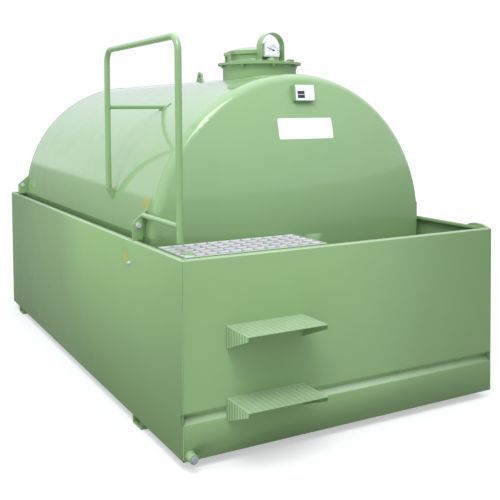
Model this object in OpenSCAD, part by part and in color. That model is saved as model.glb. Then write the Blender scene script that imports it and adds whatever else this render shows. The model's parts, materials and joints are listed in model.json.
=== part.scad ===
// Waste oil tank: a horizontal cylinder with dished ends, standing in an open containment basin with
// two steps, a grating platform, a handrail, a manway with a filler and a level gauge.
// Millimetres, +Z up, the steps face -Y, ground at Z = 0.

/* [Basin] */
// Distance between the tank's side and the basin's outer face
side_gap = 75; // [70:1:120]
// Distance between the back dished end and the basin's outer face
back_gap = 45; // [20:1:200]
// Distance between the platform and the front dished end
platform_gap = 6; // [5:1:100]
// Height of the basin wall from its underside to the rim
basin_h = 950; // [850:10:1050]
// Thickness of the basin's sheet steel
sheet_t = 4; // [3:0.5:6]
// Width of the rim that is folded inwards
rim_w = 30; // [26:1:40]
// Depth of the lip that is folded down from the rim
rim_lip = 20; // [12:1:30]
// Height of the stiffening groove's centre above the basin's underside
groove_z = 200; // [120:1:230]
// Depth of the groove, which has 45 degree faces
groove_d = 28; // [10:1:32]

/* [Skids] */
// Width of each skid channel
skid_w = 125; // [80:5:180]
// Height of each skid channel
skid_h = 45; // [40:1:120]
// Wall thickness of the skid channels
skid_t = 5; // [3:0.5:8]
// Distance of the front skid's middle from the front wall
front_skid_in = 620; // [560:5:900]
// Distance of the back skid's middle from the back wall
back_skid_in = 278; // [250:5:600]

/* [Drain] */
// Distance of the drain from the left corner
drain_in = 34; // [30:1:150]
// Height of the drain's middle above the basin's underside
drain_z = 24; // [22:1:60]
// Diameter of the hole through the wall
drain_hole_d = 26; // [10:1:30]
// Outside diameter of the drain socket
socket_d = 46; // [40:1:58]
// Bore of the drain socket
socket_bore = 34; // [30:1:38]
// Length of the drain socket
socket_l = 46; // [30:1:60]
// Distance across the flats of the plug's hexagon
plug_flats = 24; // [16:1:28]
// Length of the plug's hexagon
plug_head_l = 11; // [8:1:25]

/* [Steps] */
// Width of a step
step_w = 436; // [300:1:600]
// Distance of the steps from the left corner
step_in = 228; // [120:1:400]
// How far a step stands out from the wall
step_depth = 220; // [150:5:300]
// Height of the upper tread above the basin's underside
upper_step_z = 612; // [520:1:680]
// Height of the lower tread above the basin's underside
lower_step_z = 262; // [200:1:320]
// Depth of a cheek at the wall
cheek_back = 110; // [60:1:140]
// Depth of a cheek at the front edge
cheek_front = 21; // [15:1:40]
// Sheet thickness of a step
step_t = 3; // [2:0.5:5]
// Spacing of the ribs on a tread
tread_pitch = 15; // [12:0.5:30]
// Spacing of the ribs on a cheek
cheek_pitch = 27; // [18:0.5:40]
// Height of the ribs
rib_h = 1.6; // [0.8:0.1:3]
// Width of the ribs
rib_w = 6; // [3:0.5:9]

/* [Platform] */
// Spacing of the grating's bars
mesh = 66; // [50:1:66]
// Openings across the platform
mesh_cols = 12; // [6:1:12]
// Openings from front to back
mesh_rows = 5; // [3:1:5]
// Thickness of a grating bar
bar_t = 4; // [2:0.5:5]
// Height of a grating bar
bar_h = 25; // [20:1:30]
// Width of the seat under the grating's edge
seat_w = 30; // [20:1:40]
// Thickness of the frame's angle steel
frame_t = 3; // [2:0.5:5]
// How far the frame's upright leg stays under the grating's top
frame_under = 2; // [0:0.5:6]
// How far the grating's top stands over the rim
grating_over = 5; // [0:1:8]
// Gap between the grating and its frame
grating_gap = 0.5; // [0.3:0.1:2]
// Hand hole's middle, right of the grating's left edge
hand_hole_x = 52; // [45:1:80]
// Hand hole's middle, behind the grating's front edge
hand_hole_y = 83; // [70:1:110]
// Width of the hand hole
hand_hole_w = 54; // [40:1:60]
// Length of the hand hole
hand_hole_l = 104; // [80:1:120]
// Thickness of the hand hole's cover
hand_cover_t = 3; // [2:0.5:4]

/* [Tank] */
// Outside diameter of the tank
tank_d = 1800; // [1400:10:2000]
// Height of the tank's lowest line above the basin's underside
tank_lift = 45; // [25:1:100]
// Wall thickness of the shell and its ends
shell_t = 5; // [4:0.5:8]
// Length of the cylindrical shell
shell_l = 2818; // [2000:1:4000]
// Depth of a dished end
dish_depth = 205; // [150:1:260]
// Knuckle radius of a dished end
knuckle_r = 60; // [40:1:90]
// Gap left for the weld between fitted pieces
weld_gap = 0.3; // [0.2:0.1:0.6]

/* [Saddles] */
// Distance of a saddle's middle from the shell's edge
saddle_in = 75; // [65:1:200]
// Width of a saddle
saddle_w = 1000; // [600:10:1200]
// Length of a saddle along the tank
saddle_l = 120; // [80:5:200]
// Plate thickness of a saddle
saddle_t = 8; // [5:0.5:12]

/* [Hold-downs] */
// Distance of the front hold-downs from the shell's front edge
front_tie_in = 73; // [65:1:150]
// Distance of the back hold-downs from the shell's back edge
back_tie_in = 20; // [15:1:150]
// Plate thickness of the hold-downs
tie_t = 8; // [5:0.5:10]
// Width of the lug that stands on the rim
lug_w = 60; // [50:1:60]
// Height of the lug at its outer edge
lug_h = 88; // [70:1:90]
// Slope of the lug's top edge, in degrees
lug_slope = 18; // [10:1:20]
// Slope of the gusset's top edge, in degrees
gusset_slope = 39; // [34:1:42]
// How far the gusset's outer corner stands over the lug's
gusset_over = 7; // [4:1:16]
// Distance of the gusset's outer edge from the basin's outer face
gusset_in = 6; // [4:1:12]
// Gap between the gusset and the rim
gusset_gap = 12; // [6:1:20]
// Bolt diameter
tie_bolt_d = 16; // [12:1:16]
// Radial clearance of the bolt in its holes
bolt_gap = 0.5; // [0.2:0.1:1]
// Bolt's distance from the basin's outer face
tie_bolt_in = 35; // [28:1:40]
// Bolt's height above the rim
tie_bolt_z = 80; // [66:1:80]

/* [Manway] */
// Distance of the manway's middle from the shell's front edge
manway_in = 408; // [350:1:900]
// Outside diameter of the neck
neck_d = 456; // [400:2:500]
// Wall thickness of the neck
neck_t = 6; // [4:0.5:10]
// How far the neck reaches under the crown
neck_drop = 50; // [46:1:90]
// Height of the cover's rim over the crown
manway_h = 81; // [60:1:140]
// Diameter of the flange and of the cover
flange_d = 516; // [500:2:600]
// Thickness of the flange
flange_t = 10; // [8:1:14]
// Height of the cover's outer edge
cover_edge = 4; // [2:0.5:8]
// Rise of the dished cover over its outer edge
cover_rise = 26; // [18:1:36]
// Sheet thickness of the cover
cover_t = 5; // [3:0.5:8]

/* [Filler] */
// Riser's place right of the manway's middle
riser_dx = 0; // [-10:1:10]
// Riser's place behind the manway's middle
riser_dy = 60; // [52:1:64]
// Outside diameter of the riser
riser_d = 310; // [290:1:316]
// Wall thickness of the riser
riser_t = 5; // [4:0.5:6]
// Height of the riser over the cover's rim
riser_h = 78; // [76:1:120]
// Gap between the riser and the lid's skirt
lid_gap = 6.5; // [6:0.5:10]
// Sheet thickness of the lid
lid_t = 3; // [2:0.5:5]
// Depth of the lid's skirt
skirt_h = 20; // [16:1:30]
// Rise of the lid's domed top
lid_rise = 28; // [20:1:34]
// How far the riser's edge stays under the top of the lid's skirt
lid_seat = 2; // [2:0.5:4]
// Hinge pin diameter
hinge_pin_d = 10; // [8:1:12]
// Outside diameter of the hinge's knuckle
knuckle_d = 30; // [26:1:34]
// Running clearance of the pin, on the radius
pin_gap = 0.05; // [0.03:0.01:0.1]
// Width of the lid's ear
ear_w = 24; // [16:1:30]
// Gap on each side of the ear
ear_gap = 1; // [0.5:0.1:2]
// Gap between the hinge's knuckle and the lid's skirt
swing_gap = 14; // [10:0.5:16]
// Thickness of the hinge's cheeks
hinge_cheek_t = 8; // [5:0.5:12]
// Width of the legs that the cheeks stand on
hinge_leg_w = 14; // [10:1:20]

/* [Port plug] */
// Plug's place right of the manway's middle
port_dx = 137; // [120:1:150]
// Plug's place behind the manway's middle
port_dy = -144; // [-150:1:-110]
// Diameter of the plug's head
port_head_d = 46; // [40:1:56]
// Height of the head's top over the cover
port_head_h = 8; // [6:1:20]
// Diameter of the plug's shank
port_shank_d = 34; // [24:1:36]
// How far the shank reaches down from the head's top
port_shank_l = 24; // [22:1:40]

/* [Level gauge] */
// Gauge's place behind the manway's middle
gauge_dy = -140; // [-170:1:-130]
// Width of the gauge's housing
gauge_w = 103; // [80:1:110]
// Depth of the gauge's housing
gauge_depth = 40; // [25:1:50]
// Height of the gauge's housing
gauge_h = 96; // [90:1:110]
// Radius of the housing's top
gauge_top_r = 79; // [70:1:100]
// Diameter of the stem's top
stem_d = 30; // [20:1:40]
// Diameter of the stem's foot, at the level of the cover's rim
stem_foot_d = 96; // [60:1:110]
// Height of the stem's top over the cover's rim
stem_h = 37; // [32:1:44]
// Thickness of the dial plate
dial_t = 2; // [1:0.5:4]
// Border round the dial plate
dial_border = 7; // [4:0.5:15]
// Outside width of the guard
guard_w = 162; // [150:1:180]
// Height of the guard over the cover's rim
guard_h = 182; // [175:1:200]
// Width of the guard's strap
guard_depth = 60; // [40:1:64]
// Thickness of the guard's strap
guard_t = 5; // [3:0.5:8]

/* [Lifting lug] */
// Distance of the lug's middle from the shell's front edge
lift_in = 1283; // [900:1:1700]
// Length of the lug at its foot
lift_l = 110; // [100:1:140]
// Height of the lug
lift_h = 72; // [70:1:100]
// Thickness of the lug
lift_t = 15; // [8:1:20]
// Radius of the lug's rounded head
lift_r = 30; // [28:1:34]
// Diameter of the lifting eye
lift_eye_d = 32; // [20:1:36]
// Height of the eye's middle over the crown
lift_eye_h = 34; // [30:1:44]

/* [Name plate] */
// Width of the plate
plate_w = 125; // [100:1:160]
// Height of the plate
plate_h = 88; // [70:1:110]
// Thickness of the plate
plate_t = 1.5; // [1:0.5:3]
// Plate's place right of the tank's middle
plate_dx = 0; // [-40:1:40]
// Depth of the plate's middle under the crown
plate_drop = 108; // [105:1:300]
// Border of the bracket round the plate
bracket_border = 4; // [2:0.5:8]
// Sheet thickness of the bracket
bracket_t = 3; // [2:0.5:5]
// How far the plate's middle stands off the dished end
plate_off = 38; // [30:1:60]
// How far the plate leans back at its top, in degrees
plate_tilt = 8; // [0:1:15]
// Height of the bracket's legs
leg_h = 88; // [40:1:90]

/* [Handrail] */
// Distance of the rail's plane outside the tank's side
rail_off = 9; // [8:1:14]
// Least gap between the side stay and the shell
rail_gap = 5; // [3:0.5:12]
// Outside diameter of the rail's tube
rail_d = 33.7; // [26.9:0.1:34]
// Wall thickness of the rail's and the stays' tubes
rail_t = 2.6; // [2:0.1:4]
// Outside diameter of the stays' tube
stay_d = 26.9; // [21.3:0.1:27]
// Distance of the front leg from the front wall
rail_front_in = 166; // [120:1:200]
// Distance of the back leg from the shell's front edge
rail_back_in = 643; // [500:1:720]
// Height of the top tube's middle above the rim
rail_top = 1050; // [950:5:1100]
// Bend radius of the tube's middle
rail_bend = 75; // [60:1:120]
// Height of the front leg's end above the rim
rail_front_end = 50; // [20:1:60]
// Height of the side stay above the rim
side_stay_z = 130; // [125:1:134]
// Height of the upper stay above the tank's axis
upper_stay_z = 720; // [600:5:760]
// Height of the back leg's mitred end above the tank's axis
mitre_h = 233; // [220:1:280]
// Slant of the back leg's foot from the vertical, in degrees
foot_slant = 34; // [28:1:45]
// Side of the upper stay's pad
pad_w = 70; // [50:1:90]
// Thickness of the upper stay's pad
pad_t = 5; // [3:0.5:8]

/* [Hidden] */
$fn = 96;
// Segments for the tank's own rounds, which are large
large_fn = 720;

// Overlap that lets a cutting shape pass cleanly through a face
cut = 1;
// Colours of the photographed finishes
paint = [0.52, 0.68, 0.47];
zinc = [0.74, 0.76, 0.78];
white = [0.92, 0.93, 0.92];
black = [0.05, 0.05, 0.05];

// The platform's outline
grating_w = mesh_cols * mesh + bar_t;
grating_l = mesh_rows * mesh + bar_t;
frame_in = frame_t + grating_gap;
frame_w = grating_w + 2 * frame_in;
frame_l = grating_l + 2 * frame_in;

// The basin's faces in the part's frame, set by what stands in it
basin_w = tank_d + 2 * side_gap;
shell_in = rim_w + frame_l + platform_gap + dish_depth;
basin_l = shell_in + shell_l + dish_depth + back_gap;
left_x = -basin_w / 2;
front_y = step_depth / 2 - basin_l / 2;
back_y = front_y + basin_l;
base_z = skid_h;
rim_z = base_z + basin_h;
floor_z = base_z + sheet_t;

// Where the platform stands
frame_x = left_x + rim_w;
frame_y = front_y + rim_w;
grating_z = rim_z + grating_over - bar_h;

// The tank
tank_r = tank_d / 2;
axis_z = base_z + tank_lift + tank_r;
crown_z = axis_z + tank_r;
shell_y = front_y + shell_in;
shell_end_y = shell_y + shell_l;
// Crown radius at which the dish meets the knuckle smoothly
dish_r = (pow(tank_r - knuckle_r, 2) + dish_depth * dish_depth - knuckle_r * knuckle_r)
    / (2 * (dish_depth - knuckle_r));

// The manway, from the rim that its cover rests on
manway_y = shell_y + manway_in;
cover_z = crown_z + manway_h;
cover_r = flange_d / 2;
cover_dome_r = (cover_r * cover_r + cover_rise * cover_rise) / (2 * cover_rise);
neck_r = neck_d / 2;
neck_in_r = neck_r - neck_t;

// The filler and its lid
riser_x = riser_dx;
riser_y = manway_y + riser_dy;
riser_r = riser_d / 2;
lid_in_r = riser_r + lid_gap;
lid_r = lid_in_r + lid_t;
mid_skirt_r = lid_in_r + lid_t / 4;
lid_z = cover_z + riser_h + lid_seat;
lid_top = skirt_h + lid_t + lid_rise;
lid_dome_r = (lid_r * lid_r + lid_rise * lid_rise) / (2 * lid_rise);
hinge_x = riser_x - lid_r - knuckle_d / 2 - swing_gap;
hinge_z = lid_z - skirt_h;

// The handrail, in a plane that clears the tank's side and keeps the side stay off the shell
rail_r = rail_d / 2;
stay_r = stay_d / 2;
side_stay_h = rim_z + side_stay_z;
stay_reach = tank_r + rail_gap + stay_r;
stay_rise = side_stay_h - axis_z;
rail_x = -max(tank_r + rail_off, sqrt(stay_reach * stay_reach - stay_rise * stay_rise));
rail_front_y = front_y + rail_front_in;
rail_back_y = shell_y + rail_back_in;
mitre_z = axis_z + mitre_h;

// The hold-downs' joint planes
front_tie_y = shell_y + front_tie_in;
back_tie_y = shell_end_y - back_tie_in;

// A box from its lowest corner to its highest
module box(low, high) {
    translate(low) cube(high - low);
}

// A cylinder along Y that starts at a point
module rod_y(start, r, l, fn = $fn) {
    translate(start) rotate([-90, 0, 0]) cylinder(r = r, h = l, $fn = fn);
}

// A cylinder along X that starts at a point
module rod_x(start, r, l) {
    translate(start) rotate([0, 90, 0]) cylinder(r = r, h = l);
}

// A 2D outline in (y, z) made into a plate that starts at x
module plate_yz(x, t) {
    translate([x, 0, 0]) rotate([90, 0, 90]) linear_extrude(t) children();
}

// A 2D outline in (x, z) made into a plate that starts at y
module plate_xz(y, t) {
    translate([0, y + t, 0]) rotate([90, 0, 0]) linear_extrude(t) children();
}

// The space the tank takes, grown by a gap, over its whole length
module tank_space(gap) {
    rod_y([0, front_y - cut, axis_z], tank_r + gap, basin_l + 2 * cut, large_fn);
}

// Cross-section of a grooved end wall with its folded rim, from its outer face at 0 inwards
module end_wall_section() {
    bend = sheet_t * (sqrt(2) - 1);
    apex = groove_d + sheet_t * sqrt(2);
    polygon([
        [0, 0], [0, groove_z - groove_d], [groove_d, groove_z], [0, groove_z + groove_d], [0, basin_h],
        [rim_w, basin_h], [rim_w, basin_h - rim_lip], [rim_w - sheet_t, basin_h - rim_lip],
        [rim_w - sheet_t, basin_h - sheet_t], [sheet_t, basin_h - sheet_t],
        [sheet_t, groove_z + groove_d + bend], [apex, groove_z], [sheet_t, groove_z - groove_d - bend], [sheet_t, 0]
    ]);
}

// The folded rim of a side wall, in cross-section
module rim_section() {
    translate([0, basin_h - sheet_t]) square([rim_w, sheet_t]);
    translate([rim_w - sheet_t, basin_h - rim_lip]) square([sheet_t, rim_lip]);
}

// The front wall with its rim, between the side walls
module end_wall() {
    translate([left_x + sheet_t, front_y, base_z]) rotate([90, 0, 90])
        linear_extrude(basin_w - 2 * sheet_t) end_wall_section();
}

// Mirrors a shape from the front half of the basin to the back half
module to_back() {
    translate([0, front_y + back_y, 0]) mirror([0, 1, 0]) children();
}

// The left wall: a plain sheet over the whole length, with a rim between the end walls' rims
module side_wall() {
    box([left_x, front_y, base_z], [left_x + sheet_t, back_y, rim_z]);
    translate([left_x, back_y - rim_w, base_z]) rotate([90, 0, 0])
        linear_extrude(basin_l - 2 * rim_w) rim_section();
}

module basin_floor() color(paint)
    box([left_x + sheet_t, front_y + sheet_t, base_z], [-left_x - sheet_t, back_y - sheet_t, floor_z]);

module basin_front_wall() color(paint) difference() {
    end_wall();
    rod_y([left_x + drain_in, front_y - cut, base_z + drain_z], drain_hole_d / 2, sheet_t + 2 * cut);
}

module basin_back_wall() color(paint) to_back() end_wall();

module basin_left_wall() color(paint) side_wall();

module basin_right_wall() color(paint) mirror([1, 0, 0]) side_wall();

// A channel under the floor, its web on the ground and its ends open
module skid(y) difference() {
    box([left_x, y - skid_w / 2, 0], [-left_x, y + skid_w / 2, skid_h]);
    box([left_x - cut, y - skid_w / 2 + skid_t, skid_t], [cut - left_x, y + skid_w / 2 - skid_t, skid_h + cut]);
}

module front_skid() color(paint) skid(front_y + front_skid_in);

module back_skid() color(paint) skid(back_y - back_skid_in);

module drain_socket() color(paint) difference() {
    rod_y([left_x + drain_in, front_y - socket_l, base_z + drain_z], socket_d / 2, socket_l);
    rod_y([left_x + drain_in, front_y - socket_l - cut, base_z + drain_z], socket_bore / 2, socket_l + 2 * cut);
}

// A plug screwed half way into the socket, with a hexagon to turn it by
module drain_plug() color(zinc) {
    depth = socket_l / 2;
    hex_r = plug_flats / 2 / cos(30);
    rod_y([left_x + drain_in, front_y - socket_l, base_z + drain_z], socket_bore / 2 - weld_gap, depth);
    translate([left_x + drain_in, front_y - socket_l + cut, base_z + drain_z]) rotate([90, 0, 0])
        cylinder(r = hex_r, h = plug_head_l + cut, $fn = 6);
}

// Evenly spaced places for ribs over a length
function rib_places(length, pitch) =
    let (count = floor((length - rib_w) / pitch), first = (length - count * pitch) / 2)
    [for (i = [0:count]) first + i * pitch];

// A cheek's outline in (y, z), from the wall at 0 to its front edge, under a tread at height 0
module cheek_outline() {
    polygon([[0, 0], [0, -cheek_back], [-step_depth, -cheek_front], [-step_depth, 0]]);
}

// A folded tread with two tapering cheeks, open below and ribbed against slipping
module step(z) {
    x0 = left_x + step_in;
    ribs_on_cheek = rib_places(step_depth, cheek_pitch);
    translate([x0, front_y, base_z + z]) {
        translate([0, -step_depth, -step_t]) cube([step_w, step_depth, step_t]);
        for (x = [0, step_w - step_t]) plate_yz(x, step_t) cheek_outline();
        for (x = rib_places(step_w, tread_pitch))
            translate([x - rib_w / 2, -step_depth, -cut / 2]) cube([rib_w, step_depth, rib_h + cut / 2]);
        for (x = [-rib_h, step_w - cut / 2]) intersection() {
            plate_yz(x, rib_h + cut / 2) cheek_outline();
            for (y = ribs_on_cheek)
                translate([x - cut, -y - rib_w / 2, -cheek_back]) cube([rib_h + 3 * cut, rib_w, cheek_back]);
        }
    }
}

module upper_step() color(paint) step(upper_step_z);

module lower_step() color(paint) step(lower_step_z);

// A frame of angle steel, fixed to the rims' lips, with an inward seat for the grating
module platform_frame() color(paint) translate([frame_x, frame_y, grating_z - frame_t]) difference() {
    cube([frame_w, frame_l, bar_h + frame_t - frame_under]);
    translate([frame_t, frame_t, frame_t]) cube([frame_w - 2 * frame_t, frame_l - 2 * frame_t, 2 * bar_h]);
    translate([seat_w, seat_w, -cut]) cube([frame_w - 2 * seat_w, frame_l - 2 * seat_w, 2 * bar_h]);
}

// A long hexagon with its points at the front and the back
module long_hexagon(w, l) {
    polygon([[-w / 2, -l / 4], [0, -l / 2], [w / 2, -l / 4], [w / 2, l / 4], [0, l / 2], [-w / 2, l / 4]]);
}

// A pressed bar grating with a hexagonal hand hole that has a band round it
module platform_grating() color(zinc)
    translate([frame_x + frame_in, frame_y + frame_in, grating_z]) linear_extrude(bar_h) difference() {
        union() {
            difference() {
                square([grating_w, grating_l]);
                for (i = [0:mesh_cols - 1], j = [0:mesh_rows - 1])
                    translate([i * mesh + bar_t, j * mesh + bar_t]) square(mesh - bar_t);
            }
            translate([hand_hole_x, hand_hole_y])
                long_hexagon(hand_hole_w + 2 * bar_t, hand_hole_l + 3 * bar_t);
        }
        translate([hand_hole_x, hand_hole_y]) long_hexagon(hand_hole_w, hand_hole_l);
    }

// A flat plate that lies on the band round the hand hole
module hand_hole_cover() color(paint)
    translate([frame_x + frame_in + hand_hole_x, frame_y + frame_in + hand_hole_y, grating_z + bar_h])
        linear_extrude(hand_cover_t) long_hexagon(hand_hole_w + bar_t, hand_hole_l + bar_t);

module tank_shell() color(paint) difference() {
    rod_y([0, shell_y, axis_z], tank_r, shell_l, large_fn);
    rod_y([0, shell_y - cut, axis_z], tank_r - shell_t, shell_l + 2 * cut, large_fn);
    translate([0, manway_y, axis_z]) cylinder(r = neck_r + weld_gap, h = tank_r + cut);
}

// Half section of a dished end, filled, in (radius, height) over the shell's edge
module dish_section(inset) {
    knuckle = [tank_r - knuckle_r, 0];
    centre = [0, dish_depth - dish_r];
    reach = (knuckle - centre) * 2 * dish_r / norm(knuckle - centre);
    intersection() {
        union() {
            intersection() {
                translate(centre) circle(dish_r - inset, $fn = large_fn);
                polygon([centre, centre + reach, [0, 2 * dish_r]]);
            }
            translate(knuckle) circle(knuckle_r - inset);
        }
        square([tank_r - inset, dish_depth - inset]);
    }
}

// A dished end, standing on the shell's edge and bulging along +Z
module dished_end() rotate_extrude($fn = large_fn / 2) difference() {
    dish_section(0);
    dish_section(shell_t);
}

module front_head() color(paint) translate([0, shell_y, axis_z]) rotate([90, 0, 0]) dished_end();

module back_head() color(paint) translate([0, shell_end_y, axis_z]) rotate([-90, 0, 0]) dished_end();

// A cradle of rolled plate on a web and a foot plate
module saddle(y) {
    half = saddle_w / 2;
    seat_r = tank_r + weld_gap;
    edge_z = axis_z - sqrt(seat_r * seat_r - half * half);
    difference() {
        union() {
            box([-half, y - saddle_l / 2, floor_z], [half, y + saddle_l / 2, floor_z + saddle_t]);
            box([-half, y - saddle_t / 2, floor_z], [half, y + saddle_t / 2, edge_z]);
            intersection() {
                rod_y([0, y - saddle_l / 2, axis_z], seat_r + saddle_t, saddle_l, large_fn);
                box([-half, y - saddle_l, floor_z], [half, y + saddle_l, edge_z + saddle_t]);
            }
        }
        tank_space(weld_gap);
    }
}

module front_saddle() color(paint) saddle(shell_y + saddle_in);

module back_saddle() color(paint) saddle(shell_end_y - saddle_in);

// Repeats a shape made at the front left hold-down at the other three
module at_hold_downs() {
    for (side = [0, 1]) mirror([side, 0, 0]) {
        children();
        translate([0, front_tie_y + back_tie_y, 0]) mirror([0, 1, 0]) children();
    }
}

// The bolt hole of a hold-down, through both plates
module tie_hole() {
    rod_y([left_x + tie_bolt_in, front_tie_y - tie_t - cut, rim_z + tie_bolt_z],
        tie_bolt_d / 2 + bolt_gap, 2 * tie_t + 2 * cut);
}

// Gussets on the tank, with a sloping top edge that rises to the shell
module tank_gussets() color(paint) at_hold_downs() difference() {
    outer = left_x + gusset_in;
    inner = side_gap - tank_r;
    foot = rim_z + gusset_gap;
    top = rim_z + lug_h + gusset_over;
    plate_xz(front_tie_y, tie_t)
        polygon([[outer, foot], [outer, top], [inner, top + (inner - outer) * tan(gusset_slope)], [inner, foot]]);
    tank_space(weld_gap);
    tie_hole();
}

// Lugs that stand on the basin's rim against the gussets
module basin_lugs() color(paint) at_hold_downs() difference() {
    top = rim_z + lug_h;
    inner = left_x + lug_w;
    plate_xz(front_tie_y - tie_t, tie_t)
        polygon([[left_x, rim_z], [left_x, top], [inner, top + lug_w * tan(lug_slope)], [inner, rim_z]]);
    tie_hole();
}

// Bolts with a washer and a hexagon at each end
module hold_down_bolts() color(zinc) at_hold_downs() {
    hex_r = 0.75 * tie_bolt_d / cos(30);
    hex_h = 0.7 * tie_bolt_d;
    washer_t = 3;
    washer_r = 0.9 * tie_bolt_d;
    grip = 2 * (tie_t + washer_t);
    translate([left_x + tie_bolt_in, front_tie_y, rim_z + tie_bolt_z]) rotate([90, 0, 0]) {
        cylinder(r = tie_bolt_d / 2, h = grip + 2 * hex_h, center = true);
        for (side = [0, 1]) mirror([0, 0, side]) {
            translate([0, 0, tie_t]) cylinder(r = washer_r, h = washer_t);
            translate([0, 0, grip / 2]) cylinder(r = hex_r, h = hex_h, $fn = 6);
        }
    }
}

// A round tube standing at a place
module tube(place, r, bore_r, h) translate(place) difference() {
    cylinder(r = r, h = h);
    translate([0, 0, -cut]) cylinder(r = bore_r, h = h + 2 * cut);
}

module manway_neck() color(paint)
    tube([0, manway_y, crown_z - neck_drop], neck_r, neck_in_r, manway_h - flange_t + neck_drop);

// A flat ring on the neck that the cover rests on
module manway_flange() color(paint)
    tube([0, manway_y, cover_z - flange_t], cover_r, neck_in_r, flange_t);

// Half section of the space under the cover's face, grown by a gap, over the flange
module cover_section(gap) intersection() {
    translate([0, cover_edge + cover_rise - cover_dome_r]) circle(cover_dome_r + gap, $fn = large_fn);
    square([cover_r, cover_edge + cover_rise + gap]);
}

// The same space as a solid, which trims the feet of the pieces that stand on the cover
module cover_space(gap)
    translate([0, manway_y, cover_z]) rotate_extrude($fn = large_fn / 2) cover_section(gap);

// How high the cover's face stands over its rim at a distance from its middle
function cover_at(d) = cover_edge + cover_rise - cover_dome_r + sqrt(cover_dome_r * cover_dome_r - d * d);

// A dished cover with a flat seat, a hole for the filler and a hole for the plug
module manway_cover() color(paint) difference() {
    translate([0, manway_y, cover_z]) rotate_extrude($fn = large_fn / 2) difference() {
        cover_section(0);
        intersection() {
            cover_section(-cover_t);
            square([neck_in_r, cover_rise]);
        }
    }
    translate([riser_x, riser_y, cover_z - cut]) cylinder(r = riser_r - riser_t, h = riser_h);
    translate([port_dx, manway_y + port_dy, cover_z - cut])
        cylinder(r = port_shank_d / 2 + weld_gap, h = riser_h);
}

// A plug whose round head lies on the cover
module port_plug() color(black) {
    place = [port_dx, manway_y + port_dy, cover_z];
    head_top = cover_at(norm([port_dx, port_dy])) + port_head_h;
    translate(place + [0, 0, head_top - port_shank_l]) cylinder(d = port_shank_d, h = port_shank_l);
    difference() {
        translate(place) cylinder(d = port_head_d, h = head_top);
        cover_space(weld_gap);
    }
}

module filler_riser() color(paint) difference() {
    tube([riser_x, riser_y, cover_z], riser_r, riser_r - riser_t, riser_h);
    cover_space(weld_gap);
}

// Two legs on the cover with eyes that hold the hinge pin
module filler_hinge() color(paint) {
    half = ear_w / 2 + ear_gap + hinge_cheek_t;
    leg = hinge_leg_w / 2;
    difference() {
        for (y = [riser_y - half, riser_y + half - hinge_cheek_t]) {
            box([hinge_x - leg, y, cover_z], [hinge_x + leg, y + hinge_cheek_t, hinge_z]);
            rod_y([hinge_x, y, hinge_z], knuckle_d / 2, hinge_cheek_t);
        }
        cover_space(weld_gap);
        rod_y([hinge_x, riser_y - half - cut, hinge_z], hinge_pin_d / 2 + pin_gap, 2 * (half + cut));
    }
}

module filler_hinge_pin() color(zinc) {
    half = ear_w / 2 + ear_gap + hinge_cheek_t;
    rod_y([hinge_x, riser_y - half, hinge_z], hinge_pin_d / 2, 2 * half);
}

// Half section of the space under a dome of the lid, out to a radius, from a height up
module cap_space(r, dome_r, low) intersection() {
    translate([0, lid_top - lid_dome_r]) circle(dome_r, $fn = large_fn);
    translate([0, low]) square([r, lid_top - low]);
}

// Half section of the lid's cap, from the skirt's edge at 0 up
module cap_section() difference() {
    cap_space(lid_r, lid_dome_r, 0);
    cap_space(lid_in_r, lid_dome_r - lid_t, -cut);
}

// A domed cap with a skirt and an ear that turns on the hinge pin
module filler_lid() color(paint) difference() {
    union() {
        translate([riser_x, riser_y, hinge_z]) rotate_extrude() cap_section();
        rod_y([hinge_x, riser_y - ear_w / 2, hinge_z], knuckle_d / 2, ear_w);
        box([hinge_x, riser_y - ear_w / 2, hinge_z],
            [riser_x - mid_skirt_r, riser_y + ear_w / 2, hinge_z + knuckle_d / 2]);
    }
    rod_y([hinge_x, riser_y - ear_w, hinge_z], hinge_pin_d / 2 + pin_gap, 2 * ear_w);
}

gauge_y = manway_y + gauge_dy;
gauge_z = cover_z + stem_h;

// An arch standing on z = 0, in (x, z)
module arch(w, h) {
    r = w / 2;
    translate([-r, 0]) square([w, h - r]);
    intersection() {
        translate([0, h - r]) circle(r);
        translate([-r, 0]) square([w, h]);
    }
}

// A plate outline with upright sides and a shallow round top, in (x, z)
module low_arch(w, h, r) intersection() {
    translate([0, h - r]) circle(r, $fn = large_fn);
    translate([-w / 2, 0]) square([w, h]);
}

// A boss on the cover that tapers up to the gauge
module gauge_stem() color(paint) difference() {
    translate([0, gauge_y, cover_z]) rotate_extrude()
        polygon([[0, 0], [stem_foot_d / 2, 0], [stem_d / 2, stem_h], [0, stem_h]]);
    cover_space(weld_gap);
}

module gauge_housing() color(white) translate([0, 0, gauge_z])
    plate_xz(gauge_y - gauge_depth / 2, gauge_depth) low_arch(gauge_w, gauge_h, gauge_top_r);

module gauge_dial() color(white) translate([0, 0, gauge_z + dial_border])
    plate_xz(gauge_y - gauge_depth / 2 - dial_t, dial_t)
        low_arch(gauge_w - 2 * dial_border, gauge_h - 2 * dial_border, gauge_top_r - dial_border);

// A strap bent to an arch over the gauge, its feet trimmed to the cover
module gauge_guard() color(paint) difference() {
    translate([0, 0, cover_z]) plate_xz(gauge_y - guard_depth / 2, guard_depth) difference() {
        arch(guard_w, guard_h);
        translate([0, -cut]) arch(guard_w - 2 * guard_t, guard_h - guard_t + cut);
    }
    cover_space(weld_gap);
}

// Outline of the lifting lug: a foot whose sides run up into its round head
module lift_outline() {
    foot = lift_l / 2;
    rise = lift_h - lift_r;
    shoulder = 0.9 * lift_r;
    polygon([[-foot, 0], [foot, 0], [shoulder, rise], [-shoulder, rise]]);
    translate([0, rise]) circle(lift_r);
}

module lifting_lug() color(paint) plate_yz(-lift_t / 2, lift_t)
    translate([shell_y + lift_in, crown_z]) difference() {
        lift_outline();
        translate([0, lift_eye_h]) circle(d = lift_eye_d);
    }

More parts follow.
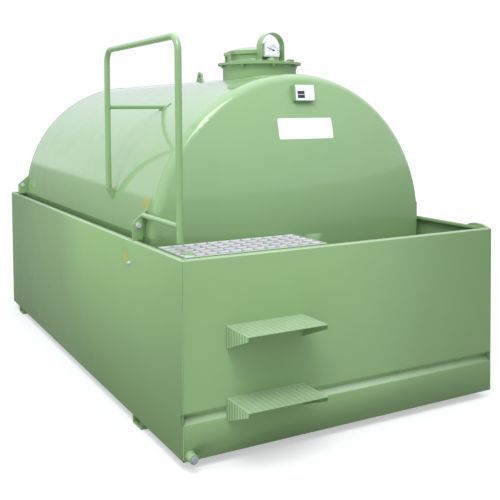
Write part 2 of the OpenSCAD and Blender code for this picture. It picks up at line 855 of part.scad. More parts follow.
// How far in front of the shell's edge the dish lies at a height over the axis
function dish_at(z) = dish_depth - dish_r + sqrt(dish_r * dish_r - z * z);

plate_y = shell_y - dish_at(tank_r - plate_drop) - plate_off;
plate_mid_z = crown_z - plate_drop;

// Puts a shape at the plate's middle, leaning back
module at_plate() translate([plate_dx, plate_y, plate_mid_z]) rotate([-plate_tilt, 0, 0]) children();

// A flat carrier on two legs that reach back to the dished end
module name_plate_bracket() color(paint) {
    half_w = plate_w / 2 + bracket_border;
    half_h = plate_h / 2 + bracket_border;
    difference() {
        at_plate() {
            box([-half_w, 0, -half_h], [half_w, bracket_t, half_h]);
            for (x = [-half_w, half_w - bracket_t])
                box([x, 0, -leg_h / 2], [x + bracket_t, plate_off + leg_h / 2, leg_h / 2]);
        }
        translate([0, shell_y, axis_z]) rotate([90, 0, 0])
            rotate_extrude($fn = large_fn / 2) dish_section(-weld_gap);
    }
}

module name_plate() color(zinc) at_plate()
    box([-plate_w / 2, -plate_t, -plate_h / 2], [plate_w / 2, 0, plate_h / 2]);

// A block under the mitre at the back leg's end, or over it, moved by a gap along the mitre's normal
module mitre_block(gap, over) {
    side = 4 * rail_d;
    translate([rail_x, rail_back_y, mitre_z]) rotate([0, -foot_slant / 2, 0])
        translate([-side / 2, -side / 2, over ? gap : gap - side]) cube(side);
}

// The hoop's line, filled to a radius: two legs, two bends and the top tube
module hoop(r, lift) {
    top = rim_z + rail_top;
    straight = top - rail_bend;
    front_end = rim_z + rail_front_end + lift;
    translate([rail_x, rail_front_y, front_end]) cylinder(r = r, h = straight - front_end);
    difference() {
        translate([rail_x, rail_back_y, mitre_z - rail_d]) cylinder(r = r, h = straight - mitre_z + rail_d);
        mitre_block(lift, false);
    }
    rod_y([rail_x, rail_front_y + rail_bend, top], r, rail_back_y - rail_front_y - 2 * rail_bend);
    translate([rail_x, rail_front_y + rail_bend, straight]) rotate([90, 0, 270])
        rotate_extrude(angle = 90) translate([rail_bend, 0]) circle(r);
    translate([rail_x, rail_back_y - rail_bend, straight]) rotate([90, 0, 90])
        rotate_extrude(angle = 90) translate([rail_bend, 0]) circle(r);
}

// A bent tube with closed ends
module handrail_hoop() color(paint) difference() {
    hoop(rail_r, 0);
    hoop(rail_r - rail_t, rail_t);
}

// From the front leg back to the gusset's face
module handrail_side_stay() color(paint) difference() {
    rod_y([rail_x, rail_front_y, side_stay_h], stay_r, front_tie_y - rail_front_y);
    rod_y([rail_x, rail_front_y, side_stay_h], stay_r - rail_t, front_tie_y - rail_front_y + cut);
    translate([rail_x, rail_front_y, rim_z]) cylinder(r = rail_r + weld_gap, h = basin_h);
}

// From the back leg across to the pad on the shell
module handrail_upper_stay() color(paint) difference() {
    rod_x([rail_x, rail_back_y, axis_z + upper_stay_z], stay_r, -rail_x);
    rod_x([rail_x, rail_back_y, axis_z + upper_stay_z], stay_r - rail_t, -rail_x);
    translate([rail_x, rail_back_y, rim_z]) cylinder(r = rail_r + weld_gap, h = 2 * basin_h);
    tank_space(2 * weld_gap + pad_t);
}

// A rolled pad on the shell at the upper stay's end
module handrail_pad() color(paint) {
    z = upper_stay_z;
    place = -sqrt(tank_r * tank_r - z * z);
    intersection() {
        difference() {
            tank_space(weld_gap + pad_t);
            tank_space(weld_gap);
        }
        translate([place, rail_back_y, axis_z + z]) rotate([0, atan2(z, -place), 0])
            cube([pad_w, pad_w, pad_w], center = true);
    }
}

// A short tube from the back leg's mitred end, slanting in to the shell
module handrail_foot() color(paint) difference() {
    translate([rail_x, rail_back_y, mitre_z]) rotate([0, 180 - foot_slant, 0])
        tube([0, 0, -rail_d], rail_r, rail_r - rail_t, 5 * rail_d);
    mitre_block(-weld_gap, true);
    tank_space(weld_gap);
}

basin_floor();
basin_front_wall();
basin_back_wall();
basin_left_wall();
basin_right_wall();
front_skid();
back_skid();
drain_socket();
drain_plug();
upper_step();
lower_step();
platform_frame();
platform_grating();
hand_hole_cover();
tank_shell();
front_head();
back_head();
front_saddle();
back_saddle();
tank_gussets();
basin_lugs();
hold_down_bolts();
manway_neck();
manway_flange();
manway_cover();
port_plug();
filler_riser();
filler_hinge();
filler_hinge_pin();
filler_lid();
gauge_stem();
gauge_housing();
gauge_dial();
gauge_guard();
lifting_lug();
name_plate_bracket();
name_plate();
handrail_hoop();
handrail_side_stay();
handrail_upper_stay();
handrail_pad();
handrail_foot();
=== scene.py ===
# %% [markdown]
# # A waste oil tank, dressed for its photograph
# The tank's solids come from its CAD model: a green steel cylinder with dished ends that lies in an open
# basin. This lesson loads those solids, sets up a camera and a studio, gives every piece a painted or
# galvanised finish, and adds what a drawing office leaves to the workshop: rounded folds, weld beads,
# stickers, a printed dial.

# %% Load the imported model
import bmesh
import bpy
import json
import math
from mathutils import Matrix, Vector


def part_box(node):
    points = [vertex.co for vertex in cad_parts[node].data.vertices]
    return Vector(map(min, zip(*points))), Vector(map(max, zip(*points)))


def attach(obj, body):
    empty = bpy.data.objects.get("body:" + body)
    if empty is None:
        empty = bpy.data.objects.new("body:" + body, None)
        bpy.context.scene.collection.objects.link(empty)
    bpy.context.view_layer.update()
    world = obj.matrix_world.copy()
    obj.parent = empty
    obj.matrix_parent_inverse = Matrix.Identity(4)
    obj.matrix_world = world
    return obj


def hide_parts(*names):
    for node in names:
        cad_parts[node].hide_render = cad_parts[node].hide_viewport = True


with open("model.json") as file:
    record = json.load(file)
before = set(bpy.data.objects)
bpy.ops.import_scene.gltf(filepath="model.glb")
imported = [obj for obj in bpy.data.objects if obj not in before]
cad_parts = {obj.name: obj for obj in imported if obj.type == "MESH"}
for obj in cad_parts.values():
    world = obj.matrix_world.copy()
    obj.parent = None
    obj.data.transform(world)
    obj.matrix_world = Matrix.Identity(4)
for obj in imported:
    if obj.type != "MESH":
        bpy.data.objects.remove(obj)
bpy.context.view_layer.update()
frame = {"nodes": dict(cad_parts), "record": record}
nodes = frame["nodes"]

# %% [markdown]
# ## The camera
# The photograph was taken from the front left at eye height, with the picture cropped lower than the lens
# pointed. The place, the lens and the crop below were solved from the basin's corners and the tank's
# outline, so a lens shift reproduces the crop and no piece has to be bent to fit.

# %% Place the camera
camera_place = Vector((-2.4218, -5.0359, 1.6811))
heading = math.radians(-28.604)
pitch = math.radians(2.475)
roll = -0.0072
right = Vector((math.cos(heading), math.sin(heading), 0))
ahead = Vector((-math.sin(heading), math.cos(heading), 0))
forward = ahead * math.cos(pitch) - Vector((0, 0, math.sin(pitch)))
upward = ahead * math.sin(pitch) + Vector((0, 0, math.cos(pitch)))
side = right * math.cos(roll) + upward * math.sin(roll)
top = upward * math.cos(roll) - right * math.sin(roll)
lens = bpy.data.cameras.new("photo_camera")
lens.sensor_width = 36
lens.lens = 56.82
lens.shift_y = -0.2102
camera = bpy.data.objects.new("photo_camera", lens)
camera.matrix_world = Matrix((
    (side.x, top.x, -forward.x, camera_place.x),
    (side.y, top.y, -forward.y, camera_place.y),
    (side.z, top.z, -forward.z, camera_place.z),
    (0, 0, 0, 1)))
bpy.context.collection.objects.link(camera)
bpy.context.scene.camera = camera
print("camera", [round(v, 3) for v in camera.location], "lens", lens.lens, "mm")

# %% [markdown]
# ## The studio
# The picture has a white ground, a bright sky and a darker yard. The paint is so glossy that it mirrors where
# the sky ends: a line runs along the tank's side, pale above it and deep green below. That line lies 4.5
# degrees over the horizon, so the sky's light steps up there, while the camera itself sees plain white.
# The camera sees a wide pale floor. The tank sees a grey one in its place, which throws back less light, as
# the real yard did, and lies in shade near the tank. In the reflections the dark lower half of the sky
# stands in for it. A soft panel hangs high in front of the tank, to its left, and draws the shadows under
# the steps. A low card beside the left wall lightens the wall's foot, and is kept out of the reflections.

# %% Lay the two floors
disc_r, middle_r = 60, 12

def wide_disc(name, height, shade, glow):
    mesh = bmesh.new()
    bmesh.ops.create_circle(mesh, cap_ends=True, segments=64, radius=disc_r)
    bmesh.ops.inset_region(mesh, faces=mesh.faces, thickness=disc_r - middle_r)
    bmesh.ops.translate(mesh, verts=mesh.verts, vec=(0, 0, height))
    data = bpy.data.meshes.new(name)
    mesh.to_mesh(data)
    mesh.free()
    paper = bpy.data.materials.new(name)
    paper.use_nodes = True
    shader = paper.node_tree.nodes["Principled BSDF"]
    shader.inputs["Base Color"].default_value = (shade, shade, shade, 1)
    shader.inputs["Emission Color"].default_value = (1, 1, 1, 1)
    shader.inputs["Emission Strength"].default_value = glow
    shader.inputs["Roughness"].default_value = 0.9
    shader.inputs["Specular IOR Level"].default_value = 0.1
    data.materials.append(paper)
    disc = bpy.data.objects.new(name, data)
    bpy.context.collection.objects.link(disc)
    return disc

floor = wide_disc("pale_floor", 0, 0.5, 0.45)
floor.visible_diffuse = False
floor.visible_glossy = False
floor.visible_shadow = False
yard = wide_disc("grey_yard", -0.002, 0.5, 0)
yard.visible_camera = False
yard.visible_glossy = False
print("floors", floor.name, yard.name)

# %% Light the sky
scene = bpy.context.scene
scene.view_settings.view_transform = "Standard"
sky = bpy.data.worlds.new("overcast_sky")
scene.world = sky
sky.use_nodes = True
sky_tree = sky.node_tree
sky_light = sky_tree.nodes["Background"]
sky_coords = sky_tree.nodes.new("ShaderNodeTexCoord").outputs["Generated"]
sky_height = sky_tree.nodes.new("ShaderNodeSeparateXYZ")
sky_tree.links.new(sky_coords, sky_height.inputs["Vector"])
sky_range = sky_tree.nodes.new("ShaderNodeMapRange")
sky_range.inputs["From Min"].default_value = -1
sky_tree.links.new(sky_height.outputs["Z"], sky_range.inputs["Value"])
sky_ramp = sky_tree.nodes.new("ShaderNodeValToRGB")
sky_tint = (0.95, 0.985, 1.05)
sky_stops = ((0.0, 0.2), (0.5, 0.23), (0.534, 0.25), (0.545, 0.98), (0.6, 0.84), (0.75, 1.05), (1.0, 1.8))
while len(sky_ramp.color_ramp.elements) < len(sky_stops):
    sky_ramp.color_ramp.elements.new(0.5)
for element, (place, level) in zip(sky_ramp.color_ramp.elements, sky_stops):
    element.position = place
    element.color = (*(level * part for part in sky_tint), 1)
sky_tree.links.new(sky_range.outputs["Result"], sky_ramp.inputs["Fac"])
sky_tree.links.new(sky_ramp.outputs["Color"], sky_light.inputs["Color"])
sky_light.inputs["Strength"].default_value = 1.0
print("sky levels", [level for place, level in sky_stops])

# %% Show the camera a white backdrop
backdrop = sky_tree.nodes.new("ShaderNodeBackground")
backdrop.inputs["Color"].default_value = (1, 1, 1, 1)
either = sky_tree.nodes.new("ShaderNodeMixShader")
sky_tree.links.new(sky_tree.nodes.new("ShaderNodeLightPath").outputs["Is Camera Ray"], either.inputs[0])
sky_tree.links.new(sky_light.outputs[0], either.inputs[1])
sky_tree.links.new(backdrop.outputs[0], either.inputs[2])
sky_tree.links.new(either.outputs[0], sky_tree.nodes["World Output"].inputs["Surface"])
print("sky", sky.name, "with", len(sky_tree.nodes), "shader nodes")

# %% Hang a soft panel and stand a card
def softbox(name, place, target, size, watts):
    light = bpy.data.lights.new(name, "AREA")
    light.shape = "RECTANGLE"
    light.size, light.size_y = size
    light.energy = watts
    turn = (Vector(target) - Vector(place)).to_track_quat("-Z", "Y").to_matrix().to_4x4()
    panel = bpy.data.objects.new(name, light)
    panel.matrix_world = Matrix.Translation(place) @ turn
    bpy.context.collection.objects.link(panel)
    return panel

key = softbox("front_panel", (-2.6, -4.8, 7.1), (0, -0.3, 1), (3.5, 3.5), 265)
card = softbox("left_card", (-4.6, 0.5, 0.2), (-1, 0.5, 0.15), (5, 0.4), 62)
card.visible_glossy = False
print("lights", key.name, card.name)

# %% [markdown]
# ## The green paint
# The steel is sprayed with a glossy pale green enamel. Sprayed paint is never flat: it has a fine orange
# peel, slow changes of shade from the overlapping passes, thin sheet that is not quite flat, and pale dust
# on what faces the sky. That pale colour on upward faces is also a painted highlight, standing in for the
# sky's light falling on them. So the colour comes from two sizes of noise and from the way a face looks, the
# gloss from a third noise, and a low bump breaks up the reflections. A clear coat gives the sharp reflection.
# The paint under it has a roughness of 0.3 or more, because below that specks are left when noise is removed.

# %% Start a material
def material(name, roughness, metallic=0.0):
    mat = bpy.data.materials.new(name)
    mat.use_nodes = True
    tree = mat.node_tree
    shader = tree.nodes["Principled BSDF"]
    shader.inputs["Roughness"].default_value = roughness
    shader.inputs["Metallic"].default_value = metallic
    coords = tree.nodes.new("ShaderNodeTexCoord").outputs["Object"]
    return mat, tree, shader, coords

def noise(tree, coords, scale, detail=3.0):
    node = tree.nodes.new("ShaderNodeTexNoise")
    node.inputs["Scale"].default_value = scale
    node.inputs["Detail"].default_value = detail
    tree.links.new(coords, node.inputs["Vector"])
    return node.outputs["Fac"]

def ramp(tree, value, stops):
    node = tree.nodes.new("ShaderNodeValToRGB")
    elements = node.color_ramp.elements
    while len(elements) < len(stops):
        elements.new(0.5)
    for element, (place, colour) in zip(elements, stops):
        element.position = place
        element.color = (*colour, 1)
    tree.links.new(value, node.inputs["Fac"])
    return node.outputs["Color"]

def spread(tree, value, low, high, start=0.3, end=0.7):
    node = tree.nodes.new("ShaderNodeMapRange")
    node.inputs["From Min"].default_value = start
    node.inputs["From Max"].default_value = end
    node.inputs["To Min"].default_value = low
    node.inputs["To Max"].default_value = high
    tree.links.new(value, node.inputs["Value"])
    return node.outputs["Result"]

def split(tree, kind):
    node = tree.nodes.new("ShaderNodeSeparateXYZ")
    tree.links.new(tree.nodes.new("ShaderNodeTexCoord").outputs[kind], node.inputs["Vector"])
    return node.outputs

# %% Stack the bumps
def bump(tree, shader, *layers):
    normal = None
    for height, strength, distance in layers:
        node = tree.nodes.new("ShaderNodeBump")
        node.inputs["Strength"].default_value = strength
        node.inputs["Distance"].default_value = distance
        tree.links.new(height, node.inputs["Height"])
        if normal:
            tree.links.new(normal, node.inputs["Normal"])
        normal = node.outputs["Normal"]
    tree.links.new(normal, shader.inputs["Normal"])

def mix(tree, share, first, second):
    node = tree.nodes.new("ShaderNodeMix")
    node.data_type = "RGBA"
    tree.links.new(share, node.inputs["Factor"])
    tree.links.new(first, node.inputs["A"])
    tree.links.new(second, node.inputs["B"])
    return node.outputs["Result"]

# %% Mix the paint
peel, peel_depth = 0.015, 0.0006

def green_paint(name, light, dark, gloss, coat, waves=0.0, dust_and_sky_light=0.7, slope=0.5):
    mat, tree, shader, coords = material(name, gloss)
    passes = ramp(tree, noise(tree, coords, 1.3, 2), [(0.3, dark), (0.7, light)])
    flecks = ramp(tree, noise(tree, coords, 26, 6), [(0.3, dark), (0.7, light)])
    even = noise(tree, coords, 7, 4)
    colour = mix(tree, spread(tree, even, 0.1, 0.35), passes, flecks)
    # Upward faces turn pale: dust, and also a painted highlight for the sky's light on them.
    pale_dust_and_sky_light = ramp(tree, even, [(0.3, [0.75 * c + 0.15 for c in light]),
                             (0.7, [0.8 * c + 0.18 for c in light])])
    sky_light_and_dust_share = spread(tree, split(tree, "Normal")["Z"], 0, dust_and_sky_light, slope, slope + 0.45)
    colour = mix(tree, sky_light_and_dust_share, colour, pale_dust_and_sky_light)
    tree.links.new(colour, shader.inputs["Base Color"])
    tree.links.new(spread(tree, even, gloss - 0.04, gloss + 0.05), shader.inputs["Roughness"])
    shader.inputs["Coat Weight"].default_value = coat
    shader.inputs["Coat Roughness"].default_value = 0.06
    bump(tree, shader, (noise(tree, coords, 1.6, 1), waves, 0.02),
         (noise(tree, coords, 330, 2), peel, peel_depth))
    return mat

tank_light, tank_dark = (0.25, 0.415, 0.178), (0.235, 0.395, 0.166)
basin_light, basin_dark = (0.248, 0.397, 0.17), (0.232, 0.377, 0.158)
# The last numbers set how pale upward faces turn, dust and painted highlight together, and from what slope.
tank_green = green_paint("tank_gloss_green", tank_light, tank_dark, 0.35, 1.0, 0.02, 0.3)
basin_green = green_paint("basin_satin_green", basin_light, basin_dark, 0.44, 0.22, 0.03, 1.0, 0.25)
trim_green = green_paint("trim_green", tank_light, tank_dark, 0.34, 0.6)
print("paints", tank_green.name, basin_green.name, trim_green.name)

# %% [markdown]
# ## Worn steps with painted highlights
# The steps are ribbed sheet, and boots and weather leave the ribs' crests pale. The pale crests are also a
# painted highlight: they stand in for the light that the ribs catch. A point near the outer face lies on a
# crest, so height shows where the treads are worn and lit and the sideways place where the cheeks are. On
# the treads every other rib is paler, by a wave that repeats every two ribs and has its top on a rib.

# %% Wear the ribs of the steps and paint highlights on them
def product(tree, first, second):
    node = tree.nodes.new("ShaderNodeMath")
    node.operation = "MULTIPLY"
    tree.links.new(first, node.inputs[0])
    tree.links.new(second, node.inputs[1])
    return node.outputs[0]

rib_h, rib_pitch, first_rib = 0.0016, 0.015, 0.008
tread_wear_and_highlight, cheek_wear_and_highlight = 0.6, 0.95
step_light, step_dark = (0.24, 0.39, 0.17), (0.225, 0.37, 0.16)
step_paints = {}
for name in ("upper_step", "lower_step"):
    low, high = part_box(name)
    paint = green_paint(name + "_green", step_light, step_dark, 0.42, 0.3, dust_and_sky_light=0.8)
    tree = paint.node_tree
    base_colour = tree.nodes["Principled BSDF"].inputs["Base Color"]
    coords = tree.nodes.new("ShaderNodeTexCoord").outputs["Object"]
    # The crest colour is wear and also a painted highlight, standing in for the light that the ribs catch.
    worn = ramp(tree, noise(tree, coords, 30, 4), [(0.3, (0.4, 0.56, 0.34)), (0.7, (0.5, 0.64, 0.43))])
    bands = tree.nodes.new("ShaderNodeTexWave")
    bands.inputs["Scale"].default_value = math.pi / (20 * rib_pitch)
    bands.inputs["Phase Offset"].default_value = math.pi * (1 - (low[0] + rib_h + first_rib) / rib_pitch)
    tree.links.new(coords, bands.inputs["Vector"])
    tops = spread(tree, split(tree, "Object")["Z"], 0, tread_wear_and_highlight, high[2] - rib_h, high[2])
    colour = mix(tree, product(tree, bands.outputs["Fac"], tops), base_colour.links[0].from_socket, worn)
    for valley, crest in ((low[0] + rib_h, low[0]), (high[0] - rib_h, high[0])):
        sides = spread(tree, split(tree, "Object")["X"], 0, cheek_wear_and_highlight, valley, crest)
        colour = mix(tree, sides, colour, worn)
    tree.links.new(colour, base_colour)
    step_paints[name] = paint
print("worn", list(step_paints))

# %% [markdown]
# ## Zinc, plastic and print
# The grating and the bolts are hot dipped: bright, with a cloudy spangle. Shoes darken the tops of the
# bars, oil and dirt dull the bearing bars and the lower half of the bright cross bars. These darker greys are
# also painted shade, standing in for the shadow between the bars, and the bright upper cross bar faces are
# the lit side. So the grating's material looks at which way a face points and how deep it lies. The gauge is
# white plastic.

# %% Mix the zinc
def zinc(name, light, dark, roughness, metallic):
    mat, tree, shader, coords = material(name, roughness, metallic)
    spangle = tree.nodes.new("ShaderNodeTexVoronoi")
    spangle.inputs["Scale"].default_value = 160
    tree.links.new(coords, spangle.inputs["Vector"])
    cloud = noise(tree, coords, 30, 5)
    shade = mix(tree, spread(tree, cloud, 0.2, 0.8),
                ramp(tree, spangle.outputs["Distance"], [(0.1, light), (0.6, dark)]),
                ramp(tree, cloud, [(0.3, dark), (0.7, light)]))
    bump(tree, shader, (noise(tree, coords, 240, 3), 0.1, 0.0006))
    return mat, tree, shader, shade

bolt_zinc, tree, shader, shade = zinc("bolt_zinc", (0.9, 0.92, 0.95), (0.68, 0.7, 0.74), 0.3, 0.5)
tree.links.new(shade, shader.inputs["Base Color"])
plug_zinc, tree, shader, shade = zinc("plug_zinc", (0.72, 0.72, 0.8), (0.42, 0.42, 0.48), 0.3, 0.5)
tree.links.new(shade, shader.inputs["Base Color"])
print("zinc", bolt_zinc.name, plug_zinc.name)

# %% Wear the grating and paint its shade
grating_zinc, tree, shader, shade = zinc("grating_zinc", (0.97, 0.97, 0.98), (0.9, 0.9, 0.92), 0.5, 0.0)
grating_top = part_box("platform_grating")[1][2]
cloud = noise(tree, tree.nodes.new("ShaderNodeTexCoord").outputs["Object"], 45, 4)
# The dull and the scuffed greys are dirt and wear, and painted shade between the bars as well.
dirt_and_painted_shade = ramp(tree, cloud, [(0.3, (0.56, 0.55, 0.56)), (0.7, (0.66, 0.64, 0.66))])
scuffs_and_painted_shade = ramp(tree, cloud, [(0.3, (0.24, 0.23, 0.24)), (0.7, (0.36, 0.35, 0.36))])
# Below this depth the cross bars turn dull: dirt, and painted shade deeper between the bars.
dirty_shaded_below, clean_lit_above = grating_top - 0.012, grating_top - 0.007
depth = spread(tree, split(tree, "Object")["Z"], 0, 1, dirty_shaded_below, clean_lit_above)
# Faces that look sideways, the bearing bars, take the dull grey: dirt, and painted shade on their sides.
lit_cross_bar_faces = ramp(tree, spread(tree, split(tree, "Normal")["Y"], 0, 1, -1, 1),
                 [(0.1, (1, 1, 1)), (0.3, (0, 0, 0)), (0.7, (0, 0, 0)), (0.9, (1, 1, 1))])
upward_face = spread(tree, split(tree, "Normal")["Z"], 0, 1, 0.45, 0.9)
bright = mix(tree, depth, dirt_and_painted_shade, shade)
bar_sides = mix(tree, lit_cross_bar_faces, dirt_and_painted_shade, bright)
tree.links.new(mix(tree, upward_face, bar_sides, scuffs_and_painted_shade), shader.inputs["Base Color"])
print("grating's top at", round(grating_top, 4))

# %% Mix the plastics and the print
def moulded(name, light, dark, roughness):
    mat, tree, shader, coords = material(name, roughness)
    shade = ramp(tree, noise(tree, coords, 45, 4), [(0.35, dark), (0.65, light)])
    tree.links.new(shade, shader.inputs["Base Color"])
    tree.links.new(spread(tree, noise(tree, coords, 90, 3), roughness - 0.05, roughness + 0.08),
                   shader.inputs["Roughness"])
    bump(tree, shader, (noise(tree, coords, 700, 2), 0.06, 0.0003))
    return mat

gauge_white = moulded("gauge_white_plastic", (0.86, 0.87, 0.9), (0.78, 0.79, 0.83), 0.35)
dial_white = moulded("dial_white_print", (0.88, 0.88, 0.92), (0.82, 0.82, 0.87), 0.4)
ink = moulded("dark_print", (0.05, 0.045, 0.06), (0.025, 0.022, 0.03), 0.45)
pale_ink = moulded("grey_print", (0.2, 0.19, 0.24), (0.14, 0.135, 0.17), 0.45)
sticker_white = moulded("sticker_white_vinyl", (0.93, 0.93, 0.94), (0.87, 0.87, 0.89), 0.3)
plate_enamel = moulded("name_plate_enamel", (0.85, 0.86, 0.9), (0.78, 0.79, 0.84), 0.3)
plug_grey = moulded("plug_grey_plastic", (0.26, 0.29, 0.26), (0.2, 0.23, 0.2), 0.45)
print("plastics", gauge_white.name, plug_grey.name, "and print", dial_white.name, ink.name, pale_ink.name)

# %% [markdown]
# ## Faded labels
# Two small amber labels at the front left have weathered until their edges melt into the paint. So their
# material is the paint itself, with amber laid over it that is strongest in the middle of the label.

# %% Fade the amber labels into the paint
def amber_label(name, light, dark, gloss, coat):
    mat = green_paint(name, light, dark, gloss, coat)
    tree = mat.node_tree
    shader = tree.nodes["Principled BSDF"]
    places = tree.nodes.new("ShaderNodeTexCoord").outputs
    centred = tree.nodes.new("ShaderNodeMapping")
    centred.inputs["Location"].default_value = (-1, -1, 0)
    centred.inputs["Scale"].default_value = (2, 2, 1)
    tree.links.new(places["UV"], centred.inputs["Vector"])
    inside = tree.nodes.new("ShaderNodeTexGradient")
    inside.gradient_type = "SPHERICAL"
    tree.links.new(centred.outputs["Vector"], inside.inputs["Vector"])
    strong = ramp(tree, inside.outputs["Fac"], [(0.05, (0, 0, 0)), (0.6, (1, 1, 1))])
    faint = ramp(tree, inside.outputs["Fac"], [(0.1, (0, 0, 0)), (0.8, (0.9, 0.9, 0.9))])
    worn = mix(tree, noise(tree, places["Object"], 60, 3), strong, faint)
    amber = ramp(tree, noise(tree, places["Object"], 45),
                 [(0.35, (0.4, 0.35, 0.06)), (0.65, (0.46, 0.4, 0.08))])
    paint = shader.inputs["Base Color"].links[0].from_socket
    tree.links.new(mix(tree, worn, paint, amber), shader.inputs["Base Color"])
    return mat

shell_amber = amber_label("shell_label_amber", tank_light, tank_dark, 0.35, 1.0)
wall_amber = amber_label("wall_label_amber", basin_light, basin_dark, 0.44, 0.22)
print("materials", len(bpy.data.materials))

# %% [markdown]
# ## A finish for every node
# The CAD names each node's material. That picks the finish, and a few nodes have one of their own: the tank
# is glossier than its fittings, the basin is duller, the grating and the steps are worn, with painted shade
# on the grating and painted highlights on the steps' ribs.

# %% Give each CAD node its finish
slot_finish = {"green_paint": trim_green, "galvanised": bolt_zinc, "gauge_white": gauge_white,
               "plate_metal": plate_enamel, "black_plastic": plug_grey}
own_finish = {"platform_grating": grating_zinc, "gauge_dial": dial_white, "drain_plug": plug_zinc,
              **step_paints}
for name in ("tank_shell", "front_head", "back_head", "manway_neck", "manway_flange", "manway_cover"):
    own_finish[name] = tank_green
for name in ("floor", "front_wall", "back_wall", "left_wall", "right_wall"):
    own_finish["basin_" + name] = basin_green
for part in frame["record"]["subparts"]:
    finish = own_finish.get(part["node"], slot_finish[part["material_slot"]])
    for slot in nodes[part["node"]].material_slots:
        slot.material = finish
print("finished", len(nodes), "CAD nodes,", len(own_finish), "of them with their own finish")

# %% [markdown]
# ## Softened edges
# Cut and folded steel has no knife edges. The CAD solids are loose triangles, so a Weld modifier joins
# them and a narrow Bevel rounds every corner. Modifiers leave the CAD mesh itself untouched.

# %% Round the edges of the folded and cut pieces
sharp_angle = math.radians(50)

def round_edges(name, width):
    weld = nodes[name].modifiers.new("joined", "WELD")
    weld.merge_threshold = 0.00002
    bevel = nodes[name].modifiers.new("rounded", "BEVEL")
    bevel.width = width
    bevel.segments = 2
    bevel.limit_method = "ANGLE"
    bevel.angle_limit = sharp_angle
    bevel.use_clamp_overlap = True
    bevel.harden_normals = True

for name, width in (("upper_step", 0.0007), ("lower_step", 0.0007), ("tank_gussets", 0.0015),
                    ("basin_lugs", 0.0015), ("front_skid", 0.0015), ("back_skid", 0.0015),
                    ("gauge_guard", 0.001), ("gauge_housing", 0.004), ("name_plate_bracket", 0.0008)):
    round_edges(name, width)
print("rounded", [n for n in nodes if nodes[n].modifiers])

# %% [markdown]
# ## Making a piece
# Every new piece starts as a bmesh, is cleaned, gets a finish and rides on the body of the tank. Its faces
# are shaded as one smooth surface, except across an edge that turns by 50 degrees or more.

# %% Finish a mesh as a piece
def piece(name, mesh, finish, body="tank", smooth=True, outward=None):
    bmesh.ops.remove_doubles(mesh, verts=mesh.verts, dist=0.00001)
    bmesh.ops.recalc_face_normals(mesh, faces=mesh.faces)
    if outward and max(mesh.faces, key=lambda face: face.calc_area()).normal.dot(outward) < 0:
        bmesh.ops.reverse_faces(mesh, faces=mesh.faces)
    for face in mesh.faces:
        face.smooth = smooth
    for edge in mesh.edges:
        edge.smooth = edge.calc_face_angle(0) < sharp_angle
    data = bpy.data.meshes.new(name)
    mesh.to_mesh(data)
    mesh.free()
    obj = bpy.data.objects.new(name, data)
    bpy.context.collection.objects.link(obj)
    data.materials.append(finish)
    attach(obj, body)
    print(name, len(data.polygons), "faces")
    return obj

# %% [markdown]
# ## The basin's folded sheets
# Each wall is one sheet, folded over twice at the top, and the end walls have a V-shaped groove against
# bending. A press brake leaves a round at every fold, wide at the rim and tight at the groove, and the wide
# one draws the bright line along the rim. So the outer line of the sheet is drawn once, extruded along the
# wall, bevelled at the folds, cut to a mitre at both ends of its rim and given its thickness. The side walls
# cover the ends of the front and back walls, and so close the groove.

# %% Fold a sheet
low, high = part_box("basin_left_wall")
left_x, rim_z, base_z = low[0], high[2], low[2]
front_y, back_y = low[1], high[1]
sheet_t, rim_fold_r, groove_fold_r = 0.004, 0.011, 0.0035
fold_zone, rim_zone = 0.01, 0.03

def folded_sheet(name, outline, start, across, run, node):
    """A sheet whose outline is (inward, up) from the foot of the wall at start, run along a vector."""
    mesh = bmesh.new()
    corners = [mesh.verts.new(start + across * inward + Vector((0, 0, height)))
               for inward, height in outline]
    edges = [mesh.edges.new(pair) for pair in zip(corners, corners[1:])]
    bmesh.ops.extrude_edge_only(mesh, edges=edges)
    far = [v for v in mesh.verts if v not in corners]
    bmesh.ops.translate(mesh, verts=far, vec=run)
    folds = [e for e in mesh.edges if len(e.link_faces) == 2]
    rim_folds = [e for e in folds if e.verts[0].co.z > rim_z - fold_zone]
    groove_folds = [e for e in folds if e not in rim_folds]
    for edges, fold_r in ((rim_folds, rim_fold_r), (groove_folds, groove_fold_r)):
        bmesh.ops.bevel(mesh, geom=edges, offset=fold_r, offset_type="OFFSET", segments=6, profile=0.5,
                        affect="EDGES", material=-1)
    for end, sign in ((start, -1), (start + run, 1)):
        mitre = (run.normalized() + across * sign).normalized() * sign
        rim = [face for face in mesh.faces if face.calc_center_median().z > rim_z - rim_zone]
        rim_edges = list({edge for face in rim for edge in face.edges})
        rim += rim_edges + list({v for face in rim for v in face.verts})
        bmesh.ops.bisect_plane(mesh, geom=rim, plane_co=end, plane_no=mitre, clear_outer=True)
    sheet = piece(name, mesh, basin_green, outward=-across)
    wall = sheet.modifiers.new("sheet", "SOLIDIFY")
    wall.thickness = sheet_t
    wall.offset = -1
    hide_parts(node)

